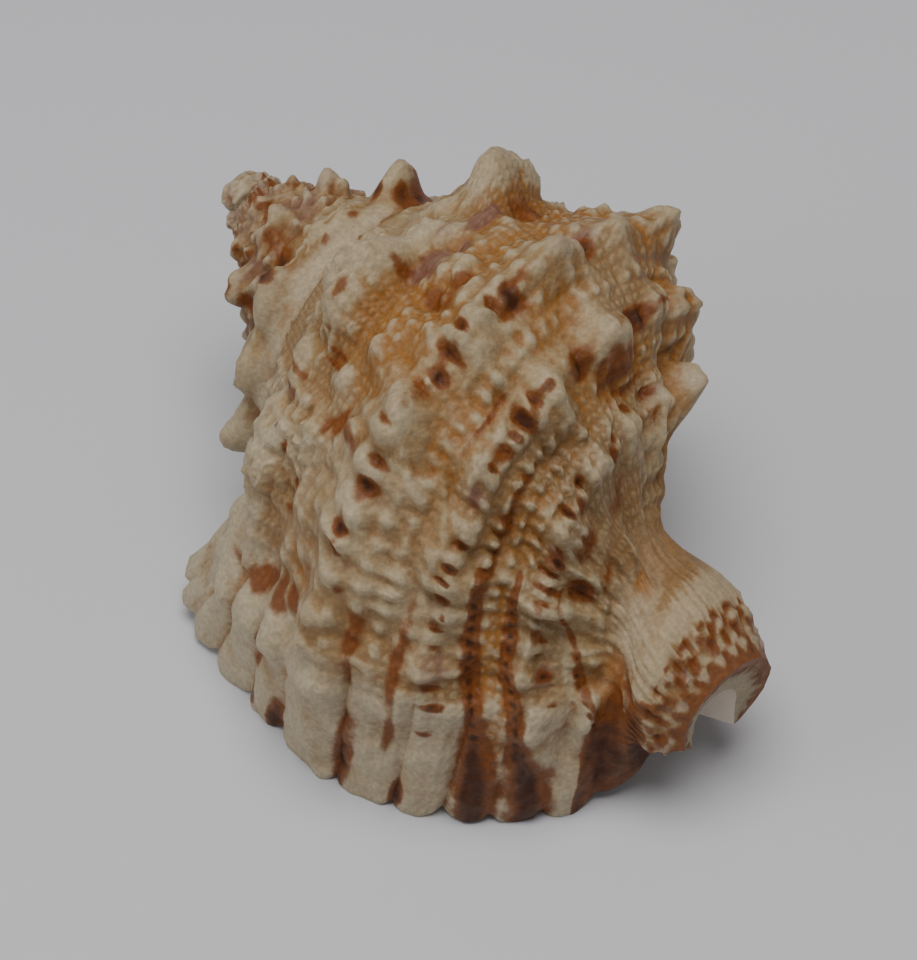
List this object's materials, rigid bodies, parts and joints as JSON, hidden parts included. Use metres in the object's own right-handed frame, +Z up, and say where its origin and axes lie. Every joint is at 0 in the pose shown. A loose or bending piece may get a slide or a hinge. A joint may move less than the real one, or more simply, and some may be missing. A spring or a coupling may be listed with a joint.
{
  "type": "murex shell",
  "caption": "Spiral sea shell with knobbly, corded whorls, a short pointed spire, a wide mouth with a thick scalloped outer lip and a short open canal.",
  "frame": {"origin": "centre of the footprint, on the surface the shell lies on", "axes": "+Z up with the mouth down, +Y along the coiling axis towards the apex, -X towards the outer lip"},
  "size_m": [0.105, 0.1462, 0.0877],
  "materials": {
    "shell": "chalky cream shell with tan and dark brown spots, satin"
  },
  "bodies": {
    "root": {"shell": "shell"}
  },
  "joints": []
}
